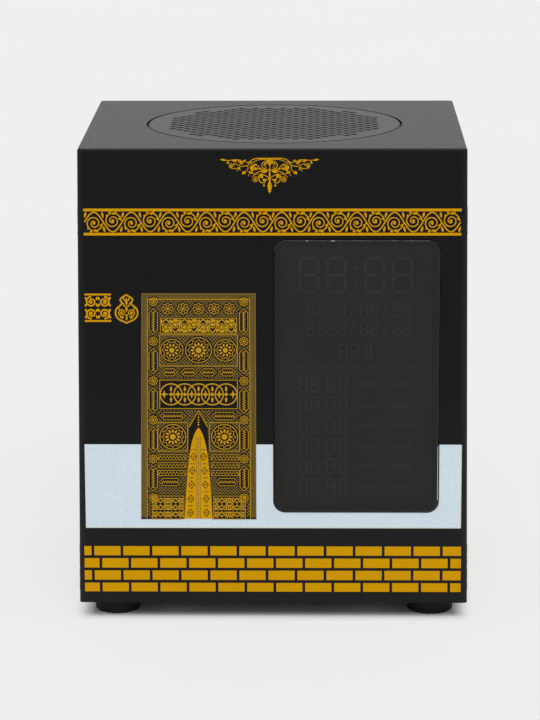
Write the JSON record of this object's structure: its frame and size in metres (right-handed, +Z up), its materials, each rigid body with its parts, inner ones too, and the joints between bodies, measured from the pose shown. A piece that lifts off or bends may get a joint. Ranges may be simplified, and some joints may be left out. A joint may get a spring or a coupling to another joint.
{
  "type": "azan clock",
  "caption": "Box-shaped azan clock with a loudspeaker under a round top grille, a tinted display window in its patterned front, and keys and sockets at the back.",
  "frame": {"origin": "centre of the plane that the four feet stand on", "axes": "+Z up, -Y towards the front with the display window, +X to the right as seen from the front"},
  "size_m": [0.1128, 0.0966, 0.1387],
  "materials": {
    "black_plastic": "fine matte",
    "black_grille": "satin black",
    "foot_rubber": "matte",
    "steel": "plated",
    "tinted_window": "gloss",
    "black_foam": "foam",
    "smoke_film": "satin",
    "grey_plastic": "matte",
    "circuit_board": "lacquered",
    "lamp_plastic": "clear",
    "cream_plastic": "matte",
    "cable_sleeve": "smooth",
    "chip_plastic": "matte",
    "tin_plate": "plated",
    "can_aluminium": "sleeved",
    "painted_steel": "satin",
    "ferrite": "matt",
    "cone_paper": "pressed paper",
    "surround_rubber": "satin",
    "spider_cloth": "cloth",
    "copper": "enamelled wire",
    "brass_terminal": "plain",
    "cell_sleeve": "shrink sleeve"
  },
  "bodies": {
    "slider": {"power_switch_slider": "black_plastic"},
    "cone": {"speaker_cone": "cone_paper", "speaker_dust_cap": "cone_paper", "voice_coil": "copper"},
    "key_previous": {"button_previous": "black_plastic", "plunger_previous": "chip_plastic"},
    "key_play": {"button_play": "black_plastic", "plunger_play": "chip_plastic"},
    "key_next": {"button_next": "black_plastic", "plunger_next": "chip_plastic"},
    "key_mode": {"button_mode": "black_plastic", "plunger_mode": "chip_plastic"},
    "body": {"housing": "black_plastic", "base_plate": "black_plastic", "speaker_grille": "black_grille", "foot_front_left": "foot_rubber", "foot_front_right": "foot_rubber", "foot_rear_left": "foot_rubber", "foot_rear_right": "foot_rubber", "base_screws": "steel", "speaker_screws": "steel", "display_board_screws": "steel", "main_board_screws": "steel", "battery_clamp_screws": "steel", "display_window": "tinted_window", "window_tape": "black_foam", "speaker_gasket": "black_foam", "display_diffuser": "smoke_film", "display_reflector": "grey_plastic", "display_board": "circuit_board", "main_board": "circuit_board", "display_leds": "lamp_plastic", "remote_receiver": "black_plastic", "display_connector": "cream_plastic", "board_connectors": "cream_plastic", "display_cable": "cable_sleeve", "speaker_leads": "cable_sleeve", "battery_leads": "cable_sleeve", "audio_chip": "chip_plastic", "amplifier_chip": "chip_plastic", "temperature_sensor": "chip_plastic", "bluetooth_module": "tin_plate", "clock_crystal": "tin_plate", "backup_cell": "tin_plate", "power_socket": "tin_plate", "memory_card_socket": "tin_plate", "backup_cell_holder": "black_plastic", "capacitors": "can_aluminium", "aux_socket": "black_plastic", "power_switch_body": "tin_plate", "key_switches": "black_plastic", "speaker_basket": "painted_steel", "speaker_top_plate": "steel", "speaker_yoke": "steel", "speaker_magnet": "ferrite", "speaker_surround": "surround_rubber", "speaker_spider": "spider_cloth", "speaker_terminals": "brass_terminal", "battery_cell": "cell_sleeve", "battery_clamp": "steel"}
  },
  "joints": [
    {"name": "power_slide", "type": "slide", "parent": "body", "child": "slider", "axis": [1, 0, 0], "range_m": [0, 0.002]},
    {"name": "cone_travel", "type": "slide", "parent": "body", "child": "cone", "axis": [0, 0, 1], "range_m": [-0.0015, 0.0015], "stiffness_N_per_m": 3000, "deforming": ["speaker_surround", "speaker_spider"]},
    {"name": "press_previous", "type": "slide", "parent": "body", "child": "key_previous", "axis": [0, -1, 0], "range_m": [0, 0.0004], "stiffness_N_per_m": 4000},
    {"name": "press_play", "type": "slide", "parent": "body", "child": "key_play", "axis": [0, -1, 0], "range_m": [0, 0.0004], "stiffness_N_per_m": 4000},
    {"name": "press_next", "type": "slide", "parent": "body", "child": "key_next", "axis": [0, -1, 0], "range_m": [0, 0.0004], "stiffness_N_per_m": 4000},
    {"name": "press_mode", "type": "slide", "parent": "body", "child": "key_mode", "axis": [0, -1, 0], "range_m": [0, 0.0004], "stiffness_N_per_m": 4000}
  ]
}
